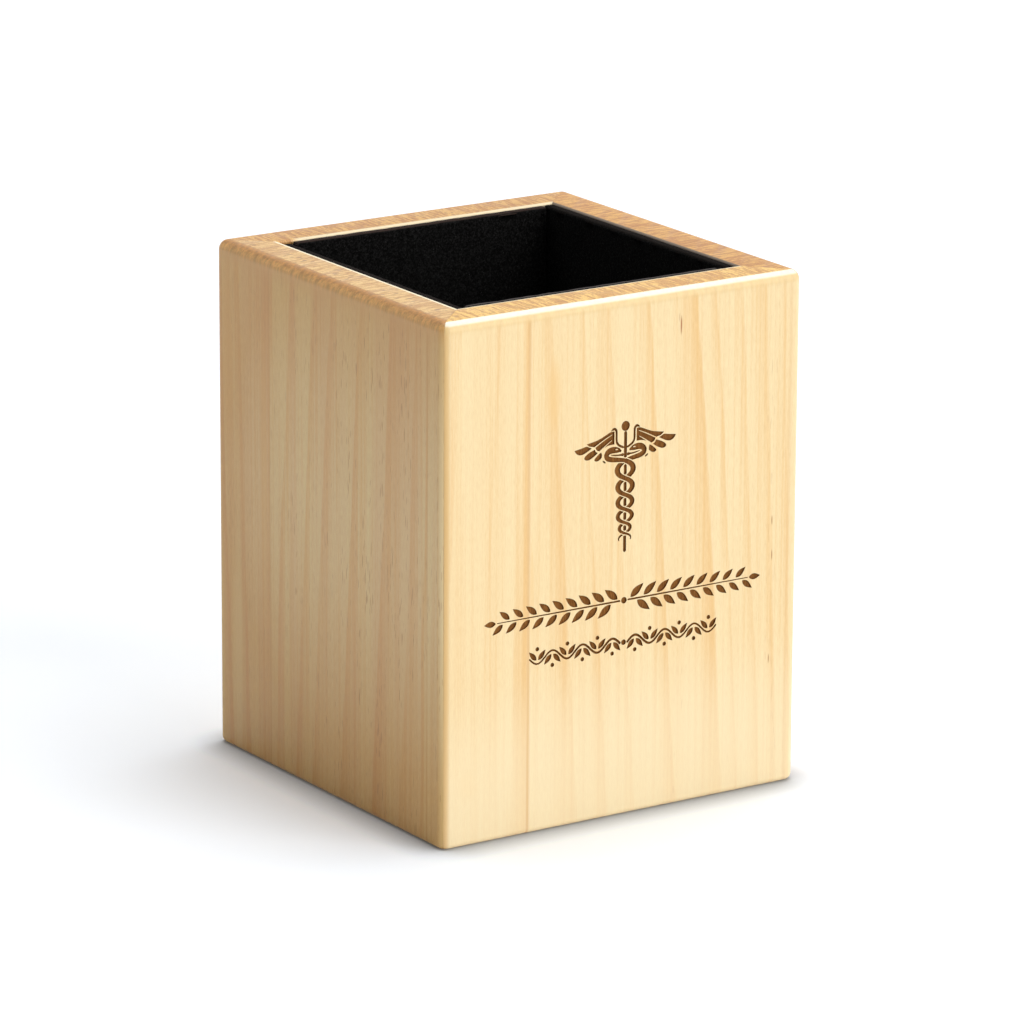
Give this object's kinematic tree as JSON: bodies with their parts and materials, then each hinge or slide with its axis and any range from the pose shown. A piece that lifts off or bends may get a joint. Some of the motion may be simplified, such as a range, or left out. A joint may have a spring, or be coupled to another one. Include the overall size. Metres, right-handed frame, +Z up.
{
  "type": "pen cup",
  "caption": "Square wooden pen cup: mitred pine boards with rounded edges, lined with black felt, open at the top, with a felt pad under the base.",
  "frame": {"origin": "centre of the footprint, on the surface that the cup stands on", "axes": "+Z up towards the open rim, the engraved front faces -Y, +X to the right of someone facing the front"},
  "size_m": [0.0826, 0.0826, 0.1032],
  "materials": {
    "pine": "satin clear lacquer over sanded pine",
    "base_pine": "bare sanded pine",
    "felt": "black pressed felt"
  },
  "bodies": {
    "root": {"front_wall": "pine", "right_wall": "pine", "back_wall": "pine", "left_wall": "pine", "base_board": "base_pine", "base_pad": "felt", "floor_lining": "felt", "front_lining": "felt", "right_lining": "felt", "back_lining": "felt", "left_lining": "felt"}
  },
  "joints": []
}
